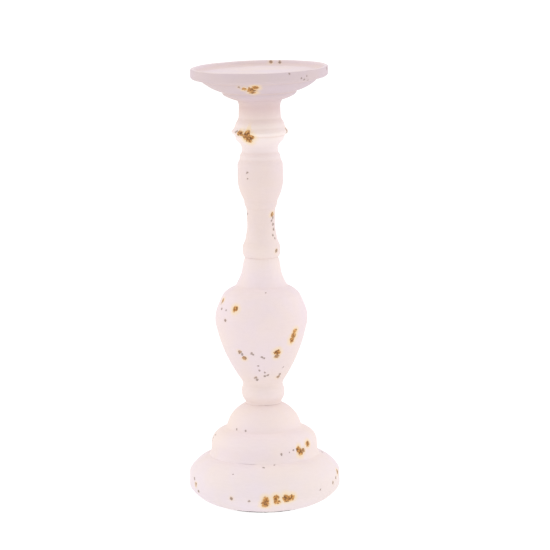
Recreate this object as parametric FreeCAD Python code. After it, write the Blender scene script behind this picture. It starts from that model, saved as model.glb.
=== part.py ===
import FreeCAD, Part
import math
import os

# A turned wooden candlestick for one pillar candle, 365 mm tall.
# Five turned blocks stand on one axis: foot, base, vase, spindle and dish. Two fluted dowels
# join the upper three, a coach screw from below pulls the vase down on the base, and three
# countersunk screws hold the foot to the base. A felt disc covers the screws.
# Units are millimetres. +Z is up, and the origin is the middle of the felt, on the table.

# Heights of the stacked pieces
FELT_THICKNESS = 1.2
FOOT_HEIGHT = 41.3
BASE_HEIGHT = 43.0
VASE_HEIGHT = 122.5
SPINDLE_HEIGHT = 130.5
DISH_HEIGHT = 26.5

# Widest radius of each turned piece
FOOT_RADIUS = 62.5
BASE_RADIUS = 46.0
COLLAR_RADIUS = 23.4
DISH_RADIUS = 56.5

# Candle dish
RIM_WIDTH = 3.0
DISH_DEPTH = 4.5

# Glued dowel joints
DOWEL_RADIUS = 5.0
DOWEL_END_GAP = 1.0
DOWEL_CHAMFER = 1.0
DOWEL_FLUTES = 12
FLUTE_RADIUS = 0.5
DISH_SOCKET = 14.0
SPINDLE_SOCKET = 22.0
VASE_SOCKET = 24.0

# Coach screw 8 x 100 with its washer, in a counterbore under the foot
COACH_RADIUS = 4.0
COACH_LENGTH = 100.0
COACH_TIP = 8.0
COACH_HEAD_FLATS = 13.0
COACH_HEAD_HEIGHT = 5.3
COACH_HOLE_RADIUS = 4.2
COACH_PILOT_SPARE = 3.0
WASHER_RADIUS = 12.0
WASHER_THICKNESS = 2.0
COUNTERBORE_RADIUS = 13.0
COUNTERBORE_DEPTH = 20.0

# Three countersunk screws 4.5 x 45, foot to base
SCREW_COUNT = 3
SCREW_CIRCLE = 26.0
SCREW_RADIUS = 2.25
SCREW_LENGTH = 45.0
SCREW_TIP = 5.0
SCREW_HEAD_RADIUS = 4.4
SCREW_HEAD_HEIGHT = 2.6
SCREW_WELL_RADIUS = 4.75
SCREW_WELL_DEPTH = 8.0
CROSS_SLOT = (5.0, 1.1, 1.6)

FELT_RADIUS = 37.0

UP = FreeCAD.Vector(0, 0, 1)

# Where each piece starts, adding up from the table
foot_z = FELT_THICKNESS
base_z = foot_z + FOOT_HEIGHT
vase_z = base_z + BASE_HEIGHT
spindle_z = vase_z + VASE_HEIGHT
dish_z = spindle_z + SPINDLE_HEIGHT


def point(radius, height):
    return FreeCAD.Vector(radius, 0, height)


def crown_point(start, end, bulge):
    """The middle of an arc that stands bulge out from the line between its ends."""
    chord = end - start
    outward = FreeCAD.Vector(chord.z, 0, -chord.x).normalize()
    return (start + end) * 0.5 + outward * bulge


def turned(outline, height):
    """Spins an outline about the axis. Each step is (radius, height), a straight cut, or
    (radius, height, bulge), an arc that stands out from its chord by bulge, or in where negative."""
    here = point(*outline[0])
    edges = [Part.makeLine(point(0, outline[0][1]), here)]
    for radius, level, *bulge in outline[1:]:
        there = point(radius, level)
        if bulge:
            arc = Part.Arc(here, crown_point(here, there, bulge[0]), there)
            edges.append(arc.toShape())
        else:
            edges.append(Part.makeLine(here, there))
        here = there
    top = point(0, here.z)
    edges.append(Part.makeLine(here, top))
    edges.append(Part.makeLine(top, edges[0].Vertexes[0].Point))
    solid = Part.Face(Part.Wire(edges)).revolve(point(0, 0), UP, 360)
    solid.translate(UP * height)
    return solid


def rod(radius, low, high, x=0.0, y=0.0):
    """A round rod, or the hole for one, from one height to another."""
    return Part.makeCylinder(radius, high - low, FreeCAD.Vector(x, y, low), UP)


def felt_disc():
    return rod(FELT_RADIUS, 0, FELT_THICKNESS)


def screw_places():
    """Where the three foot screws stand: evenly round their circle, the first at the back."""
    for index in range(SCREW_COUNT):
        angle = math.radians(90 + 360 * index / SCREW_COUNT)
        yield SCREW_CIRCLE * math.cos(angle), SCREW_CIRCLE * math.sin(angle)


# Foot: a broad bun, turned in at the bottom, with a well for each fastener.
FOOT_OUTLINE = [
    (38.8, 0.0),
    (FOOT_RADIUS, 14.7, 2.9),
    (FOOT_RADIUS, 27.8),
    (BASE_RADIUS, FOOT_HEIGHT, 2.2),
]


def base_foot():
    foot = turned(FOOT_OUTLINE, foot_z)
    holes = [
        rod(COUNTERBORE_RADIUS, foot_z, foot_z + COUNTERBORE_DEPTH),
        rod(COACH_HOLE_RADIUS, foot_z, base_z),
    ]
    for x, y in screw_places():
        holes.append(rod(SCREW_WELL_RADIUS, foot_z, foot_z + SCREW_WELL_DEPTH, x, y))
        holes.append(rod(SCREW_RADIUS, foot_z, base_z, x, y))
    foot = foot.cut(holes)
    return foot.cut([screw_head(x, y) for x, y in screw_places()])


# Base: a cove up from the foot, an upright tier with a rounded shoulder, and a domed top.
BASE_OUTLINE = [
    (BASE_RADIUS, 0.0),
    (43.9, 5.4, -0.6),
    (43.6, 13.0),
    (32.3, 22.2, 2.0),
    (30.6, 25.2, -0.4),
    (14.9, BASE_HEIGHT, 2.7),
]


def base_dome():
    dome = turned(BASE_OUTLINE, base_z)
    holes = [rod(COACH_HOLE_RADIUS, base_z, vase_z)]
    for x, y in screw_places():
        holes.append(wood_screw(x, y))
    return dome.cut(holes)


# Vase: a bead at the bottom, a long swelling body, a soft shoulder and a drawn-in neck.
VASE_OUTLINE = [
    (15.0, 0.0),
    (14.7, 2.0, -0.2),
    (17.8, 9.5, 1.0),
    (16.2, 15.3, 0.7),
    (16.6, 18.2),
    (36.8, 62.8, 2.3),
    (36.7, 80.0, 1.6),
    (31.6, 91.8, 0.2),
    (22.0, 98.2, 0.8),
    (20.4, 100.8, -0.4),
    (15.7, 114.0, -0.8),
    (13.7, VASE_HEIGHT, 0.3),
]


def vase_stem():
    vase = turned(VASE_OUTLINE, vase_z)
    socket = rod(DOWEL_RADIUS, spindle_z - VASE_SOCKET, spindle_z)
    pilot = rod(COACH_RADIUS, vase_z, coach_tip_height() + COACH_PILOT_SPARE)
    return vase.cut([socket, pilot])


# Spindle: ring, slim waist, long bulb, cove, sharp collar, roll and plain neck.
SPINDLE_OUTLINE = [
    (14.0, 0.0),
    (15.3, 2.6, 0.2),
    (15.5, 9.4, 0.2),
    (13.9, 12.6),
    (12.6, 18.3, -0.3),
    (11.4, 27.0, -0.3),
    (12.0, 41.0),
    (13.1, 42.7),
    (13.6, 47.0, 0.2),
    (18.8, 63.5, 0.9),
    (18.8, 76.9),
    (17.0, 80.8, 0.2),
    (16.8, 84.8),
    (15.2, 86.3),
    (15.2, 92.0, -0.4),
    (19.8, 97.4, -0.4),
    (20.6, 101.4),
    (22.9, 102.4),
    (COLLAR_RADIUS, 104.7, 0.5),
    (20.8, 107.5),
    (20.0, 110.4),
    (17.4, 114.7, 0.2),
    (17.0, 125.6),
    (19.1, SPINDLE_HEIGHT, -0.4),
]


def upper_spindle():
    spindle = turned(SPINDLE_OUTLINE, spindle_z)
    lower_socket = rod(DOWEL_RADIUS, spindle_z, spindle_z + SPINDLE_SOCKET)
    upper_socket = rod(DOWEL_RADIUS, dish_z - SPINDLE_SOCKET, dish_z)
    return spindle.cut([lower_socket, upper_socket])


# Dish: a stepped bowl underneath, an upright rim, and a shallow tray with a coved edge.
TRAY_LEVEL = DISH_HEIGHT - DISH_DEPTH
TRAY_RADIUS = DISH_RADIUS - RIM_WIDTH
DISH_OUTLINE = [
    (20.0, 0.0),
    (29.5, 4.0, 0.3),
    (30.8, 7.0, 0.3),
    (46.9, 15.2, 1.1),
    (47.8, 16.6),
    (52.0, 18.0),
    (DISH_RADIUS, 19.8, 1.0),
    (DISH_RADIUS, DISH_HEIGHT - 0.9),
    (DISH_RADIUS - 1.0, DISH_HEIGHT, 0.3),
    (TRAY_RADIUS, DISH_HEIGHT),
    (TRAY_RADIUS - 0.8, DISH_HEIGHT - 0.9, 0.2),
    (TRAY_RADIUS - 4.2, TRAY_LEVEL, -1.1),
]


def candle_dish():
    dish = turned(DISH_OUTLINE, dish_z)
    return dish.cut(rod(DOWEL_RADIUS, dish_z, dish_z + DISH_SOCKET))


def fluted_dowel(low, high):
    """A birch dowel with chamfered ends and straight flutes that let the glue out."""
    length = high - low
    outline = [
        (DOWEL_RADIUS - DOWEL_CHAMFER, 0),
        (DOWEL_RADIUS, DOWEL_CHAMFER),
        (DOWEL_RADIUS, length - DOWEL_CHAMFER),
        (DOWEL_RADIUS - DOWEL_CHAMFER, length),
    ]
    flutes = []
    for index in range(DOWEL_FLUTES):
        angle = 2 * math.pi * index / DOWEL_FLUTES
        x = DOWEL_RADIUS * math.cos(angle)
        y = DOWEL_RADIUS * math.sin(angle)
        flutes.append(rod(FLUTE_RADIUS, low, high, x, y))
    return turned(outline, low).cut(flutes)


def dowel_between(joint, below, above):
    """The dowel across a joint, short of each socket's end by the gap left for glue."""
    return fluted_dowel(joint - below + DOWEL_END_GAP, joint + above - DOWEL_END_GAP)


def coach_head_height():
    """The head's top face, which bears on the washer."""
    return foot_z + COUNTERBORE_DEPTH - WASHER_THICKNESS


def coach_tip_height():
    return coach_head_height() + COACH_LENGTH


def coach_screw():
    """Hexagon head below, round shank and a cone at the tip."""
    head_top = coach_head_height()
    corner = COACH_HEAD_FLATS / 2 / math.cos(math.radians(30))
    angles = [math.radians(60 * index) for index in range(7)]
    hexagon = Part.makePolygon(
        [FreeCAD.Vector(corner * math.cos(a), corner * math.sin(a), 0) for a in angles]
    )
    head = Part.Face(hexagon).extrude(UP * COACH_HEAD_HEIGHT)
    head.translate(UP * (head_top - COACH_HEAD_HEIGHT))
    shank = turned(
        [
            (COACH_RADIUS, 0),
            (COACH_RADIUS, COACH_LENGTH - COACH_TIP),
            (0.5, COACH_LENGTH),
        ],
        head_top,
    )
    return head.fuse(shank)


def bolt_washer():
    low = coach_head_height()
    high = low + WASHER_THICKNESS
    return rod(WASHER_RADIUS, low, high).cut(rod(COACH_HOLE_RADIUS, low, high))


def screw_head(x, y):
    """The countersunk cone of a foot screw, at the top of its well."""
    low = foot_z + SCREW_WELL_DEPTH
    cone = turned([(SCREW_HEAD_RADIUS, 0), (SCREW_RADIUS, SCREW_HEAD_HEIGHT)], low)
    cone.translate(FreeCAD.Vector(x, y, 0))
    return cone


def wood_screw(x, y):
    """Countersunk screw with a cross slot, pointing up."""
    low = foot_z + SCREW_WELL_DEPTH
    screw = turned(
        [
            (SCREW_HEAD_RADIUS, 0),
            (SCREW_RADIUS, SCREW_HEAD_HEIGHT),
            (SCREW_RADIUS, SCREW_LENGTH - SCREW_TIP),
            (0.3, SCREW_LENGTH),
        ],
        low,
    )
    screw.translate(FreeCAD.Vector(x, y, 0))
    long_side, short_side, slot_depth = CROSS_SLOT
    slots = []
    for width, breadth in ((long_side, short_side), (short_side, long_side)):
        corner = FreeCAD.Vector(x - width / 2, y - breadth / 2, low)
        slots.append(Part.makeBox(width, breadth, slot_depth, corner))
    return screw.cut(slots)


def foot_screws():
    return Part.makeCompound([wood_screw(x, y) for x, y in screw_places()])


PIECES = {
    "felt_disc": felt_disc(),
    "base_foot": base_foot(),
    "base_dome": base_dome(),
    "vase_stem": vase_stem(),
    "upper_spindle": upper_spindle(),
    "candle_dish": candle_dish(),
    "dish_dowel": dowel_between(dish_z, SPINDLE_SOCKET, DISH_SOCKET),
    "spindle_dowel": dowel_between(spindle_z, VASE_SOCKET, SPINDLE_SOCKET),
    "coach_screw": coach_screw(),
    "coach_washer": bolt_washer(),
    "foot_screws": foot_screws(),
}

os.makedirs("parts", exist_ok=True)
for node, shape in PIECES.items():
    assert shape.isValid(), node
    shape.exportStep(f"parts/{node}.step")
    box = shape.BoundBox
    print(f"{node}: {len(shape.Solids)} solid, volume {shape.Volume:.0f}, z {box.ZMin:.1f} to {box.ZMax:.1f}")
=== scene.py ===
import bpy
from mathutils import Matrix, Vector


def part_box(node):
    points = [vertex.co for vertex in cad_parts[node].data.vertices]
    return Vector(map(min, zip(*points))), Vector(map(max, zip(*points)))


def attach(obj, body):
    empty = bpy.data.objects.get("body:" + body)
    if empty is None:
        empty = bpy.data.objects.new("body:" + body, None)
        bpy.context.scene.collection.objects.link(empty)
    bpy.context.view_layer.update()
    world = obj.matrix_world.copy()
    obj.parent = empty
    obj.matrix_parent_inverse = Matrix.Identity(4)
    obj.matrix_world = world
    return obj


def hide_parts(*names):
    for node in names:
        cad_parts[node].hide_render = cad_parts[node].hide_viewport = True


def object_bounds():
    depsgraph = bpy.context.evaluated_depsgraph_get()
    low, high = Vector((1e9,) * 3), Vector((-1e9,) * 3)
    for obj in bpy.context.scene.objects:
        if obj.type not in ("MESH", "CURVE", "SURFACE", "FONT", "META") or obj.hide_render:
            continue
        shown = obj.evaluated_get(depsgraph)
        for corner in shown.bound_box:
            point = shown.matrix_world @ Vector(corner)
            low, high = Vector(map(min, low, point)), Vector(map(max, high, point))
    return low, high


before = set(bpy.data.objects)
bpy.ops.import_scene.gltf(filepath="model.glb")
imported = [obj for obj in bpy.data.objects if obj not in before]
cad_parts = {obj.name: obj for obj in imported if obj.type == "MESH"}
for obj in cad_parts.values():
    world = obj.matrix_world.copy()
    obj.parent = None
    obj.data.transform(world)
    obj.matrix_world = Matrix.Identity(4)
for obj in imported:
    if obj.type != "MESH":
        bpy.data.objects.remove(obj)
cad_box = [list(corner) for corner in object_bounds()]

import math
import random

import bmesh
import bpy
from mathutils import Matrix, Vector


# =============================================================================================
# Foot: a broad bun of softwood, turned on the lathe, coated thick in off-white chalk paint and
# then knocked about. A counterbore and three wells underneath take its fasteners.
# =============================================================================================

MM = 0.001


class Wire:
    """A node's output socket, with the arithmetic that makes Math nodes."""

    def __init__(self, bench, socket):
        self.bench = bench
        self.socket = socket

    def math(self, operation, *values):
        settings = {"operation": operation}
        return self.bench.node("ShaderNodeMath", settings, dict(enumerate((self, *values))))

    def rmath(self, operation, first):
        settings = {"operation": operation}
        return self.bench.node("ShaderNodeMath", settings, {0: first, 1: self})

    def __add__(self, other):
        return self.math("ADD", other)

    def __radd__(self, other):
        return self.rmath("ADD", other)

    def __sub__(self, other):
        return self.math("SUBTRACT", other)

    def __rsub__(self, other):
        return self.rmath("SUBTRACT", other)

    def __mul__(self, other):
        return self.math("MULTIPLY", other)

    def __rmul__(self, other):
        return self.rmath("MULTIPLY", other)

    def __truediv__(self, other):
        return self.math("DIVIDE", other)

    def __rtruediv__(self, other):
        return self.rmath("DIVIDE", other)

    def __mod__(self, other):
        return self.math("MODULO", other)

    def __rmod__(self, other):
        return self.rmath("MODULO", other)

    def at_least(self, other):
        return self.math("MAXIMUM", other)

    def fade(self, start, end):
        """0 up to start, 1 from end on, and a smooth rise between."""
        settings = {"interpolation_type": "SMOOTHSTEP"}
        return self.bench.node("ShaderNodeMapRange", settings, {0: self, 1: start, 2: end})


class Bench:
    """A node tree, and the one method that adds a node to it."""

    def __init__(self, tree):
        self.tree = tree

    def node(self, kind, settings=None, sockets=None, out=0):
        made = self.tree.nodes.new(kind)
        for name, value in (settings or {}).items():
            if name == "stops":
                ramp = made.color_ramp.elements
                while len(ramp) < len(value):
                    ramp.new(0.5)
                for stop, (place, colour) in zip(ramp, value):
                    stop.position = place
                    stop.color = colour
            else:
                setattr(made, name, value)
        for key, value in (sockets or {}).items():
            if isinstance(value, Wire):
                self.tree.links.new(value.socket, made.inputs[key])
            else:
                made.inputs[key].default_value = value
        return Wire(self, made.outputs[out])

    def noise(self, place, scale, detail=2.0, roughness=0.5):
        """Noise from -0.5 to 0.5 or so, with scale waves to the metre."""
        values = {"Vector": place, "Scale": scale, "Detail": detail, "Roughness": roughness}
        return self.node("ShaderNodeTexNoise", {}, values) - 0.5

    def stretched(self, place, stretch):
        """The same place on axes that are longer or shorter, for streaks."""
        return self.node("ShaderNodeVectorMath", {"operation": "MULTIPLY"}, {0: place, 1: stretch})

    def mix(self, factor, first, second, kind="MIX"):
        """A blend of two colours."""
        settings = {"data_type": "RGBA", "blend_type": kind, "clamp_factor": True}
        return self.node("ShaderNodeMix", settings, {0: factor, 6: first, 7: second}, out=2)

    def ramp(self, factor, stops):
        return self.node("ShaderNodeValToRGB", {"stops": stops}, {0: factor})


def new_material(name):
    """An empty material with its bench and its Principled shader."""
    material = bpy.data.materials.new(name)
    material.use_nodes = True
    return material, Bench(material.node_tree), material.node_tree.nodes["Principled BSDF"]


def plug(shader, **wires):
    """Feeds sockets of a shader by name, with spaces written as underscores."""
    for name, value in wires.items():
        socket = shader.inputs[name.replace("_", " ")]
        if isinstance(value, Wire):
            value.bench.tree.links.new(value.socket, socket)
        else:
            socket.default_value = value


def srgb(red, green, blue):
    """A colour from its 0 to 255 screen values, as the linear values that shaders take."""
    shares = (red / 255, green / 255, blue / 255)
    return (*(((share + 0.055) / 1.055) ** 2.4 for share in shares), 1.0)


def trace(steps, spacing):
    """Points along an outline in millimetres. A step is (radius, height), a straight cut, or
    (radius, height, bulge), an arc that stands out from its chord by bulge, or in if below 0."""
    points = [Vector(steps[0][:2])]
    for radius, height, *bulge in steps[1:]:
        start, end = points[-1], Vector((radius, height))
        chord = end - start
        half = chord.length / 2
        count = max(1, round(chord.length / spacing))
        outward = Vector((chord.y, -chord.x)).normalized()
        for index in range(1, count + 1):
            point = start.lerp(end, index / count)
            if bulge:
                sag = abs(bulge[0])
                arc_radius = (half * half + sag * sag) / (2 * sag)
                across = (2 * index / count - 1) * half
                rise = math.sqrt(arc_radius ** 2 - across ** 2) - (arc_radius - sag)
                point = point + outward * math.copysign(rise, bulge[0])
            points.append(point)
    return points


def soften(points, passes):
    """Rounds the corners of an outline, as filler and paint do, and keeps its two ends."""
    for _ in range(passes):
        inner = [
            (before + 2 * point + after) / 4
            for before, point, after in zip(points, points[1:], points[2:])
        ]
        points = [points[0], *inner, points[-1]]
    return points


def bend_at(points, index, reach):
    """How sharply an outline turns over reach points, in radians: above 0 on a ridge and below
    0 in a nook."""
    before = points[index] - points[max(0, index - reach)]
    after = points[min(len(points) - 1, index + reach)] - points[index]
    if before.length * after.length == 0:
        return 0.0
    return math.asin(max(-1, min(1, before.cross(after) / before.length / after.length)))


def bare_outline(name, low, stretches, **marks):
    """An outline as loose points that the turning tree reads, from stretches of points in
    millimetres, with a number for each point under each mark's name."""
    points = [point for stretch in stretches for point in stretch]
    mesh = bpy.data.meshes.new(name)
    mesh.from_pydata([(p.x * MM, 0, low + p.y * MM) for p in points], [], [])
    for mark, values in marks.items():
        mesh.attributes.new(mark, "FLOAT", "POINT").data.foreach_set("value", values)
    return bpy.data.objects.new(name, mesh)


def painted_outline(name, low, bore_below, shown, bore_above, spacing, softness, cracked):
    """The outline of a painted block: the bored faces stay sharp, and the painted stretch is
    softened and marked with its bends, with the joints at its ends that have cracked, and with
    how far a blank that was chucked off centre sways there."""
    below = trace(bore_below, 2.0)[:-1]
    face = soften(trace(shown, spacing), round(2 * (softness / spacing) ** 2))
    above = trace(bore_above, 2.0)[1:]
    reach = max(1, round(1.5 / spacing))
    bends = [bend_at(face, index, reach) for index in range(len(face))]
    joints = [cracked[0]] + [0.0] * (len(face) - 2) + [cracked[1]]
    tall = face[-1].y - face[0].y
    sways = [math.sin(math.pi * (point.y - face[0].y) / tall) for point in face]
    hidden_low, hidden_high = [0.0] * len(below), [0.0] * len(above)
    return bare_outline(
        name,
        low,
        (below, face, above),
        bend=hidden_low + bends + hidden_high,
        joint=hidden_low + joints + hidden_high,
        sway=hidden_low + sways + hidden_high,
        shows=hidden_low + [1.0] * len(face) + hidden_high,
    )


def radius_at(outline, height):
    """The outer radius of an outline at a height, or its rim's radius above its top."""
    spots = [vertex.co for vertex in outline.data.vertices]
    return min(spots, key=lambda spot: abs(spot.z - height) - spot.x * 0.02).x


def knocked_places(name, outline, places, strays, seed):
    """Points where the paint is knocked off. A place is (height in mm, turn in degrees, size in
    mm), with turn 0 at the front and growing to the right, and a fourth number is its distance
    from the axis where it isn't on the outside. Strays are scattered round the back."""
    rng = random.Random(seed)
    heights = [vertex.co.z / MM for vertex in outline.data.vertices]
    scattered = []
    for _ in range(strays):
        height = rng.uniform(min(heights), max(heights))
        turn = rng.uniform(95, 265)
        size = 0.9 + 2.8 * rng.random() ** 2.5
        for _ in range(rng.choice((1, 2, 2, 3))):
            scattered.append((height, turn, size))
            height += rng.uniform(-1.6, 1.6) * size
            turn += rng.uniform(-4, 4) * size
            size = max(0.8, size * rng.uniform(0.4, 0.9))
    mesh = bpy.data.meshes.new(name)
    spots = []
    for height, turn, _, *inside in [*places, *scattered]:
        radius = inside[0] * MM if inside else radius_at(outline, height * MM)
        angle = math.radians(turn)
        spots.append((radius * math.sin(angle), -radius * math.cos(angle), height * MM))
    sizes = [place[2] * MM for place in [*places, *scattered]]
    mesh.from_pydata(spots, [], [])
    mesh.attributes.new("size", "FLOAT", "POINT").data.foreach_set("value", sizes)
    return bpy.data.objects.new(name, mesh)


def from_axis(bench, place):
    """A place's two level coordinates, its distance from the axis, and its height."""
    across = bench.node("ShaderNodeSeparateXYZ", {}, {0: place}, out=0)
    deep = bench.node("ShaderNodeSeparateXYZ", {}, {0: place}, out=1)
    height = bench.node("ShaderNodeSeparateXYZ", {}, {0: place}, out=2)
    return across, deep, (across * across + deep * deep).math("SQRT"), height


def paint_loss(bench, place, worn):
    """How far the paint is gone: 1 in the middle of a chip, 0 at its ragged edge, below 0 on
    sound paint. The turning tree and the paint both use it, so dips and colours agree."""
    coarse = bench.noise(place, 330, 2.0, 0.6) * 1.6
    fine = bench.noise(place, 1300, 2.0, 0.6) * 1.5
    return worn * 1.6 + coarse + fine


def broken_cracks(bench, place, joint):
    """1 where the paint has cracked open along a glued joint, in broken dashes."""
    broken = bench.noise(place, 55, 1.0).fade(0.04, 0.12)
    return joint.fade(0.5, 0.9) * broken


def read(bench, kind, geometry, value, index):
    """The value that a point of another geometry holds."""
    settings = {"data_type": kind, "domain": "POINT"}
    sockets = {"Geometry": geometry, "Value": value, "Index": index}
    return bench.node("GeometryNodeSampleIndex", settings, sockets)


def named(bench, label):
    return bench.node("GeometryNodeInputNamedAttribute", {"data_type": "FLOAT"}, {"Name": label})


def keep(bench, geometry, label, value):
    settings = {"data_type": "FLOAT", "domain": "POINT"}
    sockets = {"Geometry": geometry, "Name": label, "Value": value}
    return bench.node("GeometryNodeStoreNamedAttribute", settings, sockets)


def new_tree(name, inputs):
    """A Geometry Nodes tree with named inputs: its bench, and a function that gives each input."""
    tree = bpy.data.node_groups.new(name, "GeometryNodeTree")
    tree.is_modifier = True
    tree.interface.new_socket("Piece", in_out="OUTPUT", socket_type="NodeSocketGeometry")
    for label, kind in inputs.items():
        tree.interface.new_socket(label, in_out="INPUT", socket_type="NodeSocket" + kind)
    bench = Bench(tree)
    given = tree.nodes.new("NodeGroupInput")
    return bench, lambda label: Wire(bench, given.outputs[label])


def spun(bench, asked, marks):
    """An outline object spun into a closed block. Its marks are carried on to every spoke, and
    each point keeps its angle round the axis as turn."""
    outline = {"Object": asked("Outline")}
    outline = bench.node("GeometryNodeObjectInfo", {}, outline, out="Geometry")
    rings = bench.node("GeometryNodeAttributeDomainSize", {"component": "MESH"}, {0: outline})
    spokes = {"Vertices X": asked("Segments") + 1, "Vertices Y": rings}
    block = bench.node("GeometryNodeMeshGrid", {}, spokes)
    index = bench.node("GeometryNodeInputIndex")
    ring = index % rings
    angle = (index / rings).math("FLOOR") / asked("Segments") * math.tau
    place = bench.node("GeometryNodeInputPosition")
    spot = read(bench, "FLOAT_VECTOR", outline, place, ring)
    for mark in marks:
        block = keep(bench, block, mark, read(bench, "FLOAT", outline, named(bench, mark), ring))
    block = keep(bench, block, "turn", angle)
    radius = bench.node("ShaderNodeSeparateXYZ", {}, {0: spot}, out=0)
    height = bench.node("ShaderNodeSeparateXYZ", {}, {0: spot}, out=2)
    wrapped = {0: radius * angle.math("COSINE"), 1: radius * angle.math("SINE"), 2: height}
    wrapped = bench.node("ShaderNodeCombineXYZ", {}, wrapped)
    block = bench.node("GeometryNodeSetPosition", {}, {"Geometry": block, "Position": wrapped})
    return bench.node("GeometryNodeMergeByDistance", {}, {"Geometry": block, "Distance": 1e-6})


def finished(bench, piece, finish, crease):
    """Smooth shading with sharp edges past the crease angle, real geometry, and the material."""
    piece = bench.node("GeometryNodeSetShadeSmooth", {"domain": "FACE"}, {0: piece})
    fold = bench.node("GeometryNodeInputMeshEdgeAngle")
    sharp = bench.node("FunctionNodeCompare", {"operation": "GREATER_THAN"}, {0: fold, 1: crease})
    creases = {0: piece, 1: sharp, 2: False}
    piece = bench.node("GeometryNodeSetShadeSmooth", {"domain": "EDGE"}, creases)
    piece = bench.node("GeometryNodeRealizeInstances", {}, {"Geometry": piece})
    piece = {"Geometry": piece, "Material": finish}
    piece = bench.node("GeometryNodeSetMaterial", {}, piece)
    result = bench.tree.nodes.new("NodeGroupOutput")
    bench.tree.links.new(piece.socket, result.inputs[0])
    return bench.tree


def turning_tree():
    """Turned and painted wood: an outline spun into a block, with the lathe's rings, the brush's
    lumps and the chips as relief along the normal."""
    bench, asked = new_tree("turning", {
        "Outline": "Object",
        "Knocked places": "Object",
        "Segments": "Int",
        "Sway": "Float",
        "Lean": "Vector",
        "Out of round": "Float",
        "Hand lumps": "Float",
        "Brush lumps": "Float",
        "Tool rings": "Float",
        "Paint thickness": "Float",
        "Splinters": "Float",
        "Crack depth": "Float",
        "Finish": "Material",
    })
    block = spun(bench, asked, ("bend", "joint", "shows", "sway"))
    place = bench.node("GeometryNodeInputPosition")

    # A blank chucked off centre sways, and a block glued on askew rises towards one side
    rise = {0: place, 1: asked("Lean")}
    rise = bench.node("ShaderNodeVectorMath", {"operation": "DOT_PRODUCT"}, rise, out="Value")
    askew = {0: named(bench, "sway") * asked("Sway"), 2: rise * named(bench, "shows")}
    askew = bench.node("ShaderNodeCombineXYZ", {}, askew)
    block = bench.node("GeometryNodeSetPosition", {}, {"Geometry": block, "Offset": askew})

    # Chips: 1 at the middle of the nearest knock, 0 at its edge and down to -2 outside
    knocks = {"Object": asked("Knocked places")}
    knocks = bench.node("GeometryNodeObjectInfo", {}, knocks, out="Geometry")
    stray = {"Vector": place, "Scale": 210.0, "Detail": 2.0}
    stray = bench.node("ShaderNodeTexNoise", {}, stray, out=1)
    stray = {0: stray, 1: (0.5, 0.5, 0.5)}
    stray = bench.node("ShaderNodeVectorMath", {"operation": "SUBTRACT"}, stray)
    stray = bench.node("ShaderNodeVectorMath", {"operation": "SCALE"}, {0: stray, "Scale": 0.003})
    near = bench.node("ShaderNodeVectorMath", {"operation": "ADD"}, {0: place, 1: stray})
    nearest = {"Geometry": knocks, "Sample Position": near}
    nearest = bench.node("GeometryNodeSampleNearest", {"domain": "POINT"}, nearest)
    ends = {0: near, 1: read(bench, "FLOAT_VECTOR", knocks, place, nearest)}
    away = bench.node("ShaderNodeVectorMath", {"operation": "DISTANCE"}, ends, out="Value")
    size = read(bench, "FLOAT", knocks, named(bench, "size"), nearest)
    block = keep(bench, block, "worn", (1 - away / size).at_least(-2))
    block = keep(bench, block, "size", size)

    # Relief
    gone = paint_loss(bench, place, named(bench, "worn")).fade(-0.1, 0.15)
    crack = broken_cracks(bench, place, named(bench, "joint"))
    around = bench.stretched(place, (0.15, 0.15, 1.0))
    along = bench.stretched(place, (1.0, 1.0, 0.12))
    relief = bench.noise(place, 9, 1.0) * asked("Out of round")
    relief = relief + bench.noise(place, 48, 2.0) * asked("Hand lumps")
    relief = relief + bench.noise(place, 210, 3.0, 0.55) * asked("Brush lumps") * (1 - gone)
    relief = relief + bench.noise(around, 520, 2.0) * asked("Tool rings")
    splinters = bench.noise(along, 1300, 2.0) * asked("Splinters")
    relief = relief - (asked("Paint thickness") + splinters) * gone
    relief = relief - crack * asked("Crack depth")
    push = {0: bench.node("GeometryNodeInputNormal"), "Scale": relief * named(bench, "shows")}
    push = bench.node("ShaderNodeVectorMath", {"operation": "SCALE"}, push)
    block = bench.node("GeometryNodeSetPosition", {}, {"Geometry": block, "Offset": push})
    return finished(bench, block, asked("Finish"), math.radians(50))


def grown(name, tree, inputs):
    """Runs a tree and returns its result as a plain closed mesh that faces outwards."""
    host = bpy.data.objects.new(name + "_host", bpy.data.meshes.new(name + "_host"))
    bpy.context.scene.collection.objects.link(host)
    modifier = host.modifiers.new("grow", "NODES")
    modifier.node_group = tree
    for item in tree.interface.items_tree:
        if item.item_type == "SOCKET" and item.in_out == "INPUT":
            modifier[item.identifier] = inputs[item.name]
    host.update_tag()
    depsgraph = bpy.context.evaluated_depsgraph_get()
    mesh = bpy.data.meshes.new_from_object(host.evaluated_get(depsgraph))
    host.modifiers.remove(modifier)
    bpy.data.objects.remove(host)
    shell = bmesh.new()
    shell.from_mesh(mesh)
    bmesh.ops.recalc_face_normals(shell, faces=shell.faces)
    shell.to_mesh(mesh)
    shell.free()
    piece = bpy.data.objects.new(name, mesh)
    bpy.context.scene.collection.objects.link(piece)
    return piece


TOP = cad_box[1][2]
# Where the tray's painted light begins: its floor and inner wall get a lighter paint than the
# dish's shaded outside
TRAY_LIT_STARTS = (0.357, 0.359)  # height, in metres like all lengths in a tree
TRAY_LIT_ENDS = (0.0552, 0.0562)  # distance from the axis, on the rim
NICK_SIZE = 0.0011  # up to this size a knock only holds dirt
CHIP_SIZE = 0.0024  # from this size on it shows wood


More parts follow.
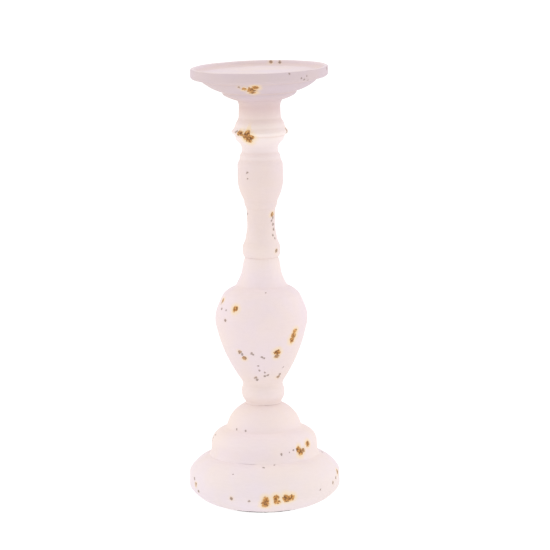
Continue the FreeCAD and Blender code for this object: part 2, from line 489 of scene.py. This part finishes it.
def chalk_paint():
    """Matt off-white chalk paint, brushed on thick over stained wood, chipped and rubbed."""
    material, bench, shader = new_material("chalk_paint")
    place = bench.node("ShaderNodeTexCoord", out="Object")
    worn = bench.node("ShaderNodeAttribute", {"attribute_name": "worn"}, out="Fac")
    size = bench.node("ShaderNodeAttribute", {"attribute_name": "size"}, out="Fac")
    bend = bench.node("ShaderNodeAttribute", {"attribute_name": "bend"}, out="Fac")
    joint = bench.node("ShaderNodeAttribute", {"attribute_name": "joint"}, out="Fac")
    shows = bench.node("ShaderNodeAttribute", {"attribute_name": "shows"}, out="Fac")
    around = bench.stretched(place, (0.15, 0.15, 1.0))
    along = bench.stretched(place, (1.0, 1.0, 0.12))

    # Paint: pinkish white on the foot and warmer up the spindle, with painted shade that dims it
    # towards the top and most on the dish's outside, pink and cream clouds all over, and painted
    # shade in the nooks
    _, _, radius, height = from_axis(bench, place)
    paint = bench.ramp(height / TOP, (
        (0.0, srgb(230, 219, 221)),
        (0.08, srgb(233, 221, 222)),
        (0.2, srgb(236, 221, 217)),
        (0.33, srgb(232, 218, 217)),
        (0.43, srgb(232, 217, 219)),
        (0.55, srgb(235, 221, 220)),
        (0.65, srgb(229, 213, 209)),
        (0.77, srgb(229, 213, 211)),
        (0.86, srgb(243, 232, 226)),
        (0.91, srgb(222, 201, 196)),
        (0.945, srgb(208, 192, 196)),
    ))
    # Painted light: the up-facing tray gets a lighter paint than the painted shade on the dish
    # round it
    lit_tray = height.fade(*TRAY_LIT_STARTS) * (1 - radius.fade(*TRAY_LIT_ENDS))
    paint = bench.mix(lit_tray, paint, srgb(225, 211, 213))
    clouds = bench.noise(place, 22, 3.0, 0.6).fade(-0.2, 0.2)
    tint = bench.mix(clouds, srgb(252, 250, 255), srgb(255, 252, 246))
    paint = bench.mix(1.0, paint, tint, "MULTIPLY")
    # Painted shade: darker, warmer paint in the nooks, where the outline bends inward
    nook_shade = (bend * -1).fade(0.05, 0.7)
    paint = bench.mix(nook_shade * 0.45, paint, srgb(218, 194, 182))
    streaks = bench.noise(around, 800, 3.0, 0.6)
    speckle = bench.noise(place, 2400, 2.0, 0.6)
    shade = 1 + streaks * 0.04 + speckle * 0.04
    shade = bench.node("ShaderNodeCombineXYZ", {}, {0: shade, 1: shade, 2: shade})
    paint = bench.mix(1.0, paint, shade, "MULTIPLY")

    # Wood: stained brown and flecked, darkest in the middle of a chip, with grain along the
    # block. A small nick doesn't reach it, and only holds dirt
    loss = paint_loss(bench, place, worn)
    grain = bench.noise(along, 900, 4.0, 0.65).fade(-0.25, 0.25)
    patches = bench.noise(place, 620, 2.0, 0.5) * 2.0 + grain * 0.3 - loss * 0.25
    wood = bench.ramp(patches + 0.45, (
        (0.0, srgb(94, 60, 28)),
        (0.3, srgb(156, 104, 50)),
        (0.6, srgb(206, 146, 74)),
        (1.0, srgb(238, 198, 134)),
    ))
    chipped = size.fade(NICK_SIZE, CHIP_SIZE)
    dirt = bench.mix(grain, srgb(112, 92, 80), srgb(162, 138, 120))
    wood = bench.mix(chipped, dirt, wood)

    # Round a chip the paint is rubbed thin, and the gold of the first coat comes through
    thin = worn.fade(-1.7, 0.2) * chipped
    bare = loss.fade(-0.3, 0.25)
    colour = bench.mix(thin * 0.65, paint, srgb(243, 215, 160))
    colour = bench.mix(bare * (0.7 + chipped * 0.3), colour, wood)
    crack = broken_cracks(bench, place, joint)
    colour = bench.mix(crack * 0.75, colour, srgb(150, 132, 130))
    raw = bench.mix(grain, srgb(196, 158, 110), srgb(222, 190, 144))
    colour = bench.mix(shows.fade(0.02, 0.3), raw, colour)

    pits = bench.noise(place, 1500, 3.0, 0.6)
    fibres = bench.noise(along, 2600, 2.0)
    level = pits * 0.5 + streaks * 0.4 - bare * 1.6 + bare * fibres * 1.6
    bump = {"Height": level, "Strength": 0.5, "Distance": 0.0002}
    plug(
        shader,
        Base_Color=colour,
        Roughness=0.74 + pits * 0.1 - bare * 0.1,
        Normal=bench.node("ShaderNodeBump", {}, bump),
    )
    return material


TURNING = turning_tree()
PAINT = chalk_paint()

SCREW_COUNT = 3
SCREW_CIRCLE = 26.0
SCREW_RADIUS = 2.25
SCREW_LENGTH = 45.0
SCREW_TIP = 5.0
SCREW_POINT = 0.3
SCREW_HEAD_RADIUS = 4.4
SCREW_HEAD_HEIGHT = 2.6
SCREW_WELL = (4.75, 8.0)
HOLE_SPOKES = 32


def screw_places():
    """Where the foot screws stand: evenly round their circle, the first at the back."""
    for index in range(SCREW_COUNT):
        angle = math.radians(90 + 360 * index / SCREW_COUNT)
        yield Vector((math.cos(angle), math.sin(angle), 0)) * SCREW_CIRCLE * MM


def bored(piece, low, profile):
    """Cuts the hole for each foot screw. Its profile is points of (radius, height) from the
    bottom up, in millimetres above low, and starts below the wood."""
    cutter = bmesh.new()
    for centre in screw_places():
        rings = []
        for radius, height in profile:
            rings.append([])
            for spoke in range(HOLE_SPOKES):
                angle = math.tau * spoke / HOLE_SPOKES
                spot = Vector((radius * math.cos(angle), radius * math.sin(angle), height)) * MM
                rings[-1].append(cutter.verts.new(centre + spot + Vector((0, 0, low))))
        cutter.faces.new(reversed(rings[0]))
        cutter.faces.new(rings[-1])
        for lower, upper in zip(rings, rings[1:]):
            for spoke in range(HOLE_SPOKES):
                after = (spoke + 1) % HOLE_SPOKES
                cutter.faces.new((lower[spoke], lower[after], upper[after], upper[spoke]))
    mesh = bpy.data.meshes.new("holes")
    cutter.to_mesh(mesh)
    cutter.free()
    mesh.materials.append(PAINT)
    holes = bpy.data.objects.new("holes", mesh)
    cut = piece.modifiers.new("holes", "BOOLEAN")
    cut.operation = "DIFFERENCE"
    cut.solver = "MANIFOLD"
    cut.object = holes
    depsgraph = bpy.context.evaluated_depsgraph_get()
    result = bpy.data.meshes.new_from_object(piece.evaluated_get(depsgraph))
    piece.modifiers.remove(cut)
    piece.data = result
    bpy.data.objects.remove(holes)


def painted_block(node, bore_below, shown, bore_above, spacing, softness, segments, places,
                  strays, seed, cracked=(0.0, 0.0), sway=0.0, lean=(0.0, 0.0),
                  screw_hole=None):
    """One painted block, turned, knocked about, and put in the place of its CAD node. Outlines
    are in millimetres above the block's own bottom. Cracked is how far the paint has opened
    along the joint at its bottom and at its top, sway how far its middle stands aside, lean the
    angles in degrees by which it rises to the right and to the back, and screw_hole the profile
    of the foot screws' holes."""
    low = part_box(node)[0][2]
    outline = painted_outline(
        node + "_outline", low, bore_below, shown, bore_above, spacing, softness, cracked
    )
    piece = grown(node + "_turned", TURNING, {
        "Outline": outline,
        "Knocked places": knocked_places(node + "_knocks", outline, places, strays, seed),
        "Segments": segments,
        "Sway": sway * MM,
        "Lean": [math.tan(math.radians(angle)) for angle in (*lean, 0.0)],
        "Out of round": 0.0006,
        "Hand lumps": 0.0008,
        "Brush lumps": 0.00022,
        "Tool rings": 0.0001,
        "Paint thickness": 0.0004,
        "Splinters": 0.00035,
        "Crack depth": 0.0004,
        "Finish": PAINT,
    })
    if screw_hole:
        bored(piece, low, screw_hole)
    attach(piece, "root")
    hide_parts(node)


FOOT_TOP = 41.3
FOOT_RADIUS = 62.5
FOOT_UNDERSIDE = 38.8
BASE_RADIUS = 46.0
COUNTERBORE = (13.0, 20.0)
COACH_HOLE = 4.2
CUT_PAST = 1.0

painted_block(
    "base_foot",
    bore_below=[
        (COACH_HOLE, COUNTERBORE[1]), COUNTERBORE, (COUNTERBORE[0], 0), (FOOT_UNDERSIDE, 0),
    ],
    shown=[
        (FOOT_UNDERSIDE, 0), (FOOT_RADIUS, 14.7, 2.9), (FOOT_RADIUS, 27.8),
        (BASE_RADIUS, FOOT_TOP, 2.2),
    ],
    bore_above=[
        (BASE_RADIUS, FOOT_TOP), (COACH_HOLE, FOOT_TOP), (COACH_HOLE, COUNTERBORE[1]),
    ],
    spacing=0.6,
    softness=1.3,
    segments=600,
    places=[
        (16.5, 1, 2.8), (13.5, 0.5, 3.0), (11, 0, 2.8), (18, 8.5, 2.5), (14.5, 9.5, 2.6),
        (18, 16, 2.7), (16, 17.5, 2.6), (17.5, 20.5, 2.7), (17, -26, 1.6), (15, -12, 1.3),
        (20, 47, 0.9), (28.5, 76, 2.0), (25, 71, 1.5), (22, 65, 1.5), (26, -69, 1.3),
        (22, -66, 1.9), (17, -62, 1.4), (41, -1, 0.8), (42, 10, 0.9), (36, -27, 0.8),
    ],
    strays=12,
    seed=21,
    screw_hole=[
        (SCREW_WELL[0], -CUT_PAST), SCREW_WELL, (SCREW_HEAD_RADIUS, SCREW_WELL[1]),
        (SCREW_RADIUS, SCREW_WELL[1] + SCREW_HEAD_HEIGHT), (SCREW_RADIUS, FOOT_TOP + CUT_PAST),
    ],
)


# =============================================================================================
# Base: an upright tier with a rounded shoulder and a domed top, turned from one block of the
# same softwood. It stands on the foot, a hole on its axis lets the coach screw through, and
# three pilot holes take the foot screws.
# =============================================================================================

BASE_TOP = 43.0
BASE_TOP_RADIUS = 14.9
PILOT_DEPTH = SCREW_WELL[1] + SCREW_LENGTH - FOOT_TOP

painted_block(
    "base_dome",
    bore_below=[(COACH_HOLE, 0), (BASE_RADIUS, 0)],
    shown=[
        (BASE_RADIUS, 0), (43.9, 5.4, -0.6), (43.6, 13.0), (32.3, 22.2, 2.0), (30.6, 25.2, -0.4),
        (BASE_TOP_RADIUS, BASE_TOP, 2.7),
    ],
    bore_above=[(BASE_TOP_RADIUS, BASE_TOP), (COACH_HOLE, BASE_TOP), (COACH_HOLE, 0)],
    spacing=0.6,
    softness=1.6,
    segments=440,
    places=[
        (67, -46, 1.0), (67, -29, 1.1), (52, 40, 2.5), (49.5, 43, 2.7), (50.5, 47, 2.0),
        (55, 56, 2.3), (52, 33, 0.9), (51, 28, 0.8), (50, 19, 1.0), (60, -80, 1.3),
        (57, -82, 1.2), (54, -84, 1.0),
    ],
    strays=8,
    seed=12,
    screw_hole=[
        (SCREW_RADIUS, -CUT_PAST), (SCREW_RADIUS, PILOT_DEPTH - SCREW_TIP),
        (SCREW_POINT, PILOT_DEPTH),
    ],
)


# =============================================================================================
# Vase: the swelling lower half of the stem, with a bead at its foot and a long drawn-in neck.
# The coach screw bites into its pilot hole, and a socket in its top takes a dowel.
# =============================================================================================

VASE_TOP = 122.5
VASE_BOTTOM_RADIUS = 15.0
VASE_TOP_RADIUS = 13.7
DOWEL_RADIUS = 5.0
COACH_PILOT = (4.0, 36.7)
VASE_SOCKET = 24.0

painted_block(
    "vase_stem",
    bore_below=[
        (0, COACH_PILOT[1]), COACH_PILOT, (COACH_PILOT[0], 0), (VASE_BOTTOM_RADIUS, 0),
    ],
    shown=[
        (VASE_BOTTOM_RADIUS, 0), (14.7, 2.0, -0.2), (17.8, 9.5, 1.0), (16.2, 15.3, 0.7),
        (16.6, 18.2), (36.8, 62.8, 2.3), (36.7, 80.0, 1.6), (31.6, 91.8, 0.2), (22.0, 98.2, 0.8),
        (20.4, 100.8, -0.4), (15.7, 114.0, -0.8), (VASE_TOP_RADIUS, VASE_TOP, 0.3),
    ],
    bore_above=[
        (VASE_TOP_RADIUS, VASE_TOP), (DOWEL_RADIUS, VASE_TOP),
        (DOWEL_RADIUS, VASE_TOP - VASE_SOCKET), (0, VASE_TOP - VASE_SOCKET),
    ],
    spacing=0.6,
    softness=1.3,
    segments=330,
    places=[
        (173, -72, 2.0), (170.5, -74, 1.5), (169, -38, 2.5), (167, -66, 1.2), (167, -54, 1.1),
        (159, -52, 1.4), (149, 47, 2.5), (145.5, 46, 2.9), (142, 44, 2.7), (132.5, 22, 2.7),
        (129, 22, 1.9), (133, -36, 1.7), (131, -33, 1.2), (128, -31, 1.9), (132, -17, 1.1),
        (131, -15, 0.9), (129, -1, 0.9), (128, 2, 0.9), (121, -8, 0.9), (117, -6, 0.8),
        (115, 3, 0.9), (111.5, 4, 1.0), (112, 10, 1.0), (110, -17, 1.4), (108, -14, 1.1),
        (109.5, 36, 1.6), (112, 39, 1.3), (118, 41, 0.9), (182, 7, 0.7),
    ],
    strays=12,
    seed=13,
    cracked=(0.0, 1.0),
    sway=-1.0,
)


# =============================================================================================
# Spindle: ring, slim waist, long bulb, cove, sharp collar and plain neck, turned from one
# blank. A socket at each end takes a dowel.
# =============================================================================================

SPINDLE_TOP = 130.5
SPINDLE_BOTTOM_RADIUS = 14.0
SPINDLE_TOP_RADIUS = 19.1
SPINDLE_SOCKET = 22.0

painted_block(
    "upper_spindle",
    bore_below=[
        (0, SPINDLE_SOCKET), (DOWEL_RADIUS, SPINDLE_SOCKET), (DOWEL_RADIUS, 0),
        (SPINDLE_BOTTOM_RADIUS, 0),
    ],
    shown=[
        (SPINDLE_BOTTOM_RADIUS, 0), (15.3, 2.6, 0.2), (15.5, 9.4, 0.2), (13.9, 12.6),
        (12.6, 18.3, -0.3), (11.4, 27.0, -0.3), (12.0, 41.0), (13.1, 42.7), (13.6, 47.0, 0.2),
        (18.8, 63.5, 0.9), (18.8, 76.9), (17.0, 80.8, 0.2), (16.8, 84.8), (15.2, 86.3),
        (15.2, 92.0, -0.4), (19.8, 97.4, -0.4), (20.6, 101.4), (22.9, 102.4), (23.4, 104.7, 0.5),
        (20.8, 107.5), (20.0, 110.4), (17.4, 114.7, 0.2), (17.0, 125.6),
        (SPINDLE_TOP_RADIUS, SPINDLE_TOP, -0.4),
    ],
    bore_above=[
        (SPINDLE_TOP_RADIUS, SPINDLE_TOP), (DOWEL_RADIUS, SPINDLE_TOP),
        (DOWEL_RADIUS, SPINDLE_TOP - SPINDLE_SOCKET), (0, SPINDLE_TOP - SPINDLE_SOCKET),
    ],
    spacing=0.5,
    softness=0.9,
    segments=280,
    places=[
        (313, -58, 1.4), (312.5, -49, 2.2), (312, -41, 2.6), (309, -34, 3.0),
        (310.5, -27, 4.8), (307.5, -27, 3.3), (309.5, -19, 2.6),
        (314, 78, 1.6), (312, 73, 1.5), (280, -36, 0.8), (275, -36, 0.7), (244, -68, 1.1),
        (243.5, 52, 2.0), (241, 57, 1.3), (238.5, 51, 1.0), (235.5, 60, 1.2), (231.5, 60, 1.3),
        (228, 57, 2.0), (226.5, 50, 1.0), (224, 60, 1.0), (214, 52, 1.6),
    ],
    strays=8,
    seed=14,
    cracked=(1.0, 0.0),
    sway=-0.15,
)


# =============================================================================================
# Dish: a stepped bowl with an upright rim and a shallow tray for one pillar candle, turned on
# a faceplate. A socket underneath takes the top dowel.
# =============================================================================================

DISH_TOP = 26.5
DISH_RADIUS = 56.5
DISH_BOTTOM_RADIUS = 20.0
RIM_EDGE = 0.9
TRAY_LEVEL = 22.0
DISH_SOCKET = 14.0

painted_block(
    "candle_dish",
    bore_below=[
        (0, DISH_SOCKET), (DOWEL_RADIUS, DISH_SOCKET), (DOWEL_RADIUS, 0), (DISH_BOTTOM_RADIUS, 0),
    ],
    shown=[
        (DISH_BOTTOM_RADIUS, 0), (29.5, 4.0, 0.3), (30.8, 7.0, 0.3), (46.9, 15.2, 1.1),
        (47.8, 16.6), (52.0, 18.0), (DISH_RADIUS, 19.8, 1.0), (DISH_RADIUS, DISH_TOP - RIM_EDGE),
        (55.5, DISH_TOP, 0.3), (53.5, DISH_TOP), (52.7, DISH_TOP - RIM_EDGE, 0.2),
        (49.3, TRAY_LEVEL, -1.1), (0, TRAY_LEVEL),
    ],
    bore_above=[(0, TRAY_LEVEL)],
    spacing=0.7,
    softness=0.4,
    segments=540,
    places=[
        (364, 78, 1.3), (364, 98, 1.1), (363.5, 26, 0.9), (359.5, 37, 0.9), (358, 40, 0.9),
        (360.5, 43, 0.9), (357, 45, 0.8), (353, -20, 1.6), (351.5, -16, 2.3), (350.5, -9, 5.8),
        (352.5, -4, 2.8), (347.5, -8, 3.0),
        (364.2, 169.5, 1.7, 53.2), (364.2, 161, 1.5, 53.2),
    ],
    strays=5,
    seed=25,
    lean=(0.85, 0.5),
)


# =============================================================================================
# Fasteners: a zinc-plated coach screw with its washer, hexagon head down in the foot's
# counterbore, and three countersunk wood screws. Their rolled threads run out on the tips.
# =============================================================================================

def zinc_steel():
    """Bright zinc plate on steel: faintly blue and yellow patches, and fine drawing lines."""
    material, bench, shader = new_material("zinc_steel")
    place = bench.node("ShaderNodeTexCoord", out="Object")
    patches = bench.noise(place, 120, 3.0, 0.6).fade(-0.2, 0.2)
    colour = bench.mix(patches, srgb(196, 200, 206), srgb(206, 202, 190))
    lines = bench.noise(bench.stretched(place, (1.0, 1.0, 0.1)), 2600, 3.0, 0.6)
    bump = {"Height": lines, "Strength": 0.3, "Distance": 5e-5}
    plug(
        shader,
        Base_Color=colour,
        Metallic=1.0,
        Roughness=0.34 + lines * 0.16 + patches * 0.06,
        Normal=bench.node("ShaderNodeBump", {}, bump),
    )
    return material


def threading_tree():
    """A screw from its outline: a hexagon where the outline is marked hexed, a rolled thread
    where it is marked threaded, and a cross pressed into its head's face."""
    bench, asked = new_tree("threading", {
        "Outline": "Object",
        "Segments": "Int",
        "Pitch": "Float",
        "Thread depth": "Float",
        "Cross slot": "Float",
        "Finish": "Material",
    })
    block = spun(bench, asked, ("threaded", "hexed", "slotted"))
    place = bench.node("GeometryNodeInputPosition")
    turn = named(bench, "turn")
    across, deep, radius, height = from_axis(bench, place)

    # A thread's flanks rise and fall once in each pitch, and climb one pitch in each turn
    climb = (height / asked("Pitch") - turn / math.tau).math("FRACT")
    flank = (climb - 0.5).math("ABSOLUTE").fade(0.1, 0.42)
    root = flank * asked("Thread depth") * named(bench, "threaded")

    # A hexagon's flat is nearer the axis than its corners, by the cosine of the turn from it
    sixth = math.tau / 6
    from_flat = (turn + sixth) % sixth - sixth / 2
    flat = (1 - math.cos(sixth / 2) / from_flat.math("COSINE")) * named(bench, "hexed")

    shrink = 1 - flat - root / radius.at_least(1e-5)
    half_width, edge, arm, arm_end = 0.0005, 0.00025, 0.0022, 0.0026
    first = 1 - across.math("ABSOLUTE").fade(half_width, half_width + edge)
    second = 1 - deep.math("ABSOLUTE").fade(half_width, half_width + edge)
    reach = 1 - radius.fade(arm, arm_end)
    cross = first.at_least(second) * reach * named(bench, "slotted") * asked("Cross slot")
    moved = {0: across * shrink, 1: deep * shrink, 2: height + cross}
    moved = bench.node("ShaderNodeCombineXYZ", {}, moved)
    block = bench.node("GeometryNodeSetPosition", {}, {"Geometry": block, "Position": moved})
    return finished(bench, block, asked("Finish"), math.radians(35))


THREADING = threading_tree()
ZINC = zinc_steel()


def screw(name, low, stretches, segments, pitch, thread_depth, cross_slot):
    """One screw on the axis. A stretch is (steps, spacing, threaded, hexed, slotted), and its
    steps start where the stretch before it ends."""
    traced, threaded, hexed, slotted = [], [], [], []
    for steps, spacing, *flags in stretches:
        points = trace(steps, spacing)
        points = points[1:] if traced else points
        traced.append(points)
        for marks, flag in zip((threaded, hexed, slotted), flags):
            marks.extend([flag] * len(points))
    outline = bare_outline(
        name + "_outline", low, traced, threaded=threaded, hexed=hexed, slotted=slotted
    )
    return grown(name, THREADING, {
        "Outline": outline,
        "Segments": segments,
        "Pitch": pitch,
        "Thread depth": thread_depth,
        "Cross slot": cross_slot,
        "Finish": ZINC,
    })


COACH_CORNER = 6.5 / math.cos(math.radians(30))
COACH_HEAD = 5.3
COACH_SHANK = 4.0
COACH_PLAIN = 45.0
COACH_TIP = 8.0
COACH_POINT = 0.5
COACH_END = COACH_HEAD + 100.0

coach = screw(
    "coach_screw_threaded",
    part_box("coach_screw")[0][2],
    [
        ([(0, 0), (COACH_CORNER - 0.8, 0), (COACH_CORNER, 0.5), (COACH_CORNER, COACH_HEAD)],
         1.0, 0.0, 1.0, 0.0),
        ([(COACH_CORNER, COACH_HEAD), (COACH_SHANK, COACH_HEAD), (COACH_SHANK, COACH_PLAIN)],
         4.0, 0.0, 0.0, 0.0),
        ([(COACH_SHANK, COACH_PLAIN), (COACH_SHANK, COACH_END - COACH_TIP),
          (COACH_POINT, COACH_END)],
         0.35, 1.0, 0.0, 0.0),
        ([(COACH_POINT, COACH_END), (0, COACH_END)], 1.0, 0.0, 0.0, 0.0),
    ],
    segments=72,
    pitch=0.0036,
    thread_depth=0.0011,
    cross_slot=0.0,
)
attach(coach, "root")
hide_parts("coach_screw")

SCREW_FACE = 2.8
SCREW_EDGE = 0.2
SCREW_PLAIN = 10.0

wood_screws = screw(
    "wood_screws",
    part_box("foot_screws")[0][2],
    [
        ([(0, 0), (SCREW_FACE, 0)], 0.2, 0.0, 0.0, 1.0),
        ([(SCREW_FACE, 0), (SCREW_HEAD_RADIUS, 0), (SCREW_HEAD_RADIUS, SCREW_EDGE),
          (SCREW_RADIUS, SCREW_HEAD_HEIGHT), (SCREW_RADIUS, SCREW_PLAIN)],
         1.0, 0.0, 0.0, 0.0),
        ([(SCREW_RADIUS, SCREW_PLAIN), (SCREW_RADIUS, SCREW_LENGTH - SCREW_TIP),
          (SCREW_POINT, SCREW_LENGTH)],
         0.25, 1.0, 0.0, 0.0),
        ([(SCREW_POINT, SCREW_LENGTH), (0, SCREW_LENGTH)], 1.0, 0.0, 0.0, 0.0),
    ],
    segments=48,
    pitch=0.002,
    thread_depth=0.0007,
    cross_slot=0.0016,
)
screws = bmesh.new()
for stand in screw_places():
    first_new = len(screws.verts)
    screws.from_mesh(wood_screws.data)
    screws.verts.ensure_lookup_table()
    bmesh.ops.translate(screws, verts=screws.verts[first_new:], vec=stand)
screws.to_mesh(wood_screws.data)
screws.free()
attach(wood_screws, "root")
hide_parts("foot_screws")


def give(node, material):
    """Gives a CAD node that stays as it is its better material."""
    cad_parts[node].data.materials.clear()
    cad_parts[node].data.materials.append(material)


give("coach_washer", ZINC)


# =============================================================================================
# Dowels: two fluted birch pegs, cut from rod and glued into the sockets between vase and
# spindle and between spindle and dish. They are left bare.
# =============================================================================================

birch, bench, shader = new_material("birch")
place = bench.node("ShaderNodeTexCoord", out="Object")
grain = bench.noise(bench.stretched(place, (1.0, 1.0, 0.06)), 1500, 4.0, 0.6)
flecks = bench.noise(bench.stretched(place, (1.0, 1.0, 0.25)), 3200, 2.0, 0.5).fade(0.12, 0.3)
colour = bench.mix(grain.fade(-0.25, 0.25), srgb(206, 176, 134), srgb(232, 208, 170))
plug(
    shader,
    Base_Color=bench.mix(flecks * 0.5, colour, srgb(170, 132, 92)),
    Roughness=0.7 + grain * 0.2,
    Normal=bench.node("ShaderNodeBump", {}, {"Height": grain, "Strength": 0.4, "Distance": 1e-4}),
)
give("spindle_dowel", birch)
give("dish_dowel", birch)


# =============================================================================================
# Felt: a disc of dark pressed felt, stamped out and glued under the foot, over the screws. Its
# cut edge is a little fuzzy, and its underside is the face that rests on the table.
# =============================================================================================

felt_low, felt_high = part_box("felt_disc")
FELT_RADIUS = (felt_high[0] - felt_low[0]) / 2
FELT_THICKNESS = felt_high[2] - felt_low[2]
FELT_SPOKES = 180
FELT_RINGS = 16

dark_felt, bench, shader = new_material("dark_felt")
place = bench.node("ShaderNodeTexCoord", out="Object")
fibres = bench.noise(place, 2200, 4.0, 0.7)
tufts = bench.noise(place, 300, 2.0, 0.5).fade(-0.2, 0.2)
wool = bench.mix(fibres.fade(-0.3, 0.3), srgb(38, 36, 36), srgb(84, 80, 78))
plug(
    shader,
    Base_Color=bench.mix(tufts * 0.4, wool, srgb(58, 52, 50)),
    Roughness=0.95,
    Normal=bench.node("ShaderNodeBump", {}, {"Height": fibres, "Strength": 0.6, "Distance": 3e-4}),
)

rng = random.Random(5)
disc = bmesh.new()
faces = ([], [])
for face, height in zip(faces, (0.0, FELT_THICKNESS)):
    for step in range(1, FELT_RINGS + 1):
        ring = []
        for spoke in range(FELT_SPOKES):
            angle = math.tau * spoke / FELT_SPOKES
            fuzz = rng.uniform(-0.0004, 0.0) if step == FELT_RINGS else 0.0
            radius = FELT_RADIUS * step / FELT_RINGS + fuzz
            lift = rng.uniform(-0.00006, 0.0) if height else rng.uniform(0.0, 0.00006)
            spot = (radius * math.cos(angle), radius * math.sin(angle), height + lift)
            ring.append(disc.verts.new(spot))
        face.append(ring)
    centre = disc.verts.new((0, 0, height))
    for here, there in zip(face[0], face[0][1:] + face[0][:1]):
        disc.faces.new((centre, here, there))
    for inner, outer in zip(face, face[1:]):
        for spoke in range(FELT_SPOKES):
            after = (spoke + 1) % FELT_SPOKES
            disc.faces.new((inner[spoke], outer[spoke], outer[after], inner[after]))
for spoke in range(FELT_SPOKES):
    after = (spoke + 1) % FELT_SPOKES
    under, over = faces[0][-1], faces[1][-1]
    disc.faces.new((under[spoke], under[after], over[after], over[spoke]))
bmesh.ops.recalc_face_normals(disc, faces=disc.faces)
felt_mesh = bpy.data.meshes.new("felt_pad")
disc.to_mesh(felt_mesh)
disc.free()
felt_mesh.materials.append(dark_felt)
felt = bpy.data.objects.new("felt_pad", felt_mesh)
bpy.context.scene.collection.objects.link(felt)
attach(felt, "root")
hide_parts("felt_disc")


# =============================================================================================
# Studio: a plain white floor under an even white sky, a soft light on each side and one above,
# and the camera a little above the dish.
# =============================================================================================

white_floor, bench, shader = new_material("white_floor")
plug(shader, Base_Color=(0.25, 0.25, 0.25, 1), Roughness=0.9)
plug(shader, Emission_Color=(1, 1, 1, 1), Emission_Strength=0.85)
REACH = 30.0
floor_mesh = bpy.data.meshes.new("floor")
corners = [(-REACH, -REACH, 0), (REACH, -REACH, 0), (REACH, REACH, 0), (-REACH, REACH, 0)]
floor_mesh.from_pydata(corners, [], [(0, 1, 2, 3)])
floor_mesh.materials.append(white_floor)
floor = bpy.data.objects.new("floor", floor_mesh)
bpy.context.scene.collection.objects.link(floor)

sky = bpy.data.worlds.new("studio")
sky.use_nodes = True
sky.node_tree.nodes["Background"].inputs["Color"].default_value = (1, 1, 1, 1)
sky.node_tree.nodes["Background"].inputs["Strength"].default_value = 0.95
bpy.context.scene.world = sky


def softbox(name, place, aim, width, height, power):
    lamp = bpy.data.lights.new(name, "AREA")
    lamp.shape = "RECTANGLE"
    lamp.size = width
    lamp.size_y = height
    lamp.energy = power
    box = bpy.data.objects.new(name, lamp)
    box.location = place
    box.rotation_euler = (Vector(aim) - Vector(place)).to_track_quat("-Z", "Y").to_euler()
    bpy.context.scene.collection.objects.link(box)


softbox("left_softbox", (-1.6, 0.5, 1.0), (0, 0, 0.2), 1.2, 1.6, 6)
softbox("right_softbox", (1.6, 0.5, 1.0), (0, 0, 0.2), 1.2, 1.6, 6)
softbox("top_softbox", (0, -0.3, 2.2), (0, 0, 0.2), 1.5, 1.5, 3.5)

CAMERA_AWAY = 2.52
CAMERA_HEIGHT = 0.596
CAMERA_ASIDE = 0.0108
CAMERA_TILT = math.radians(9.1)
CAMERA_ROLL = math.radians(-0.76)

lens = bpy.data.cameras.new("camera")
lens.sensor_width = 36
lens.lens = 202.1
lens.clip_end = 100
camera = bpy.data.objects.new("camera", lens)
camera.matrix_world = (
    Matrix.Translation((CAMERA_ASIDE, -CAMERA_AWAY, CAMERA_HEIGHT))
    @ Matrix.Rotation(math.pi / 2 - CAMERA_TILT, 4, "X")
    @ Matrix.Rotation(CAMERA_ROLL, 4, "Z")
)
bpy.context.scene.collection.objects.link(camera)
bpy.context.scene.camera = camera
bpy.context.scene.view_settings.view_transform = "Standard"
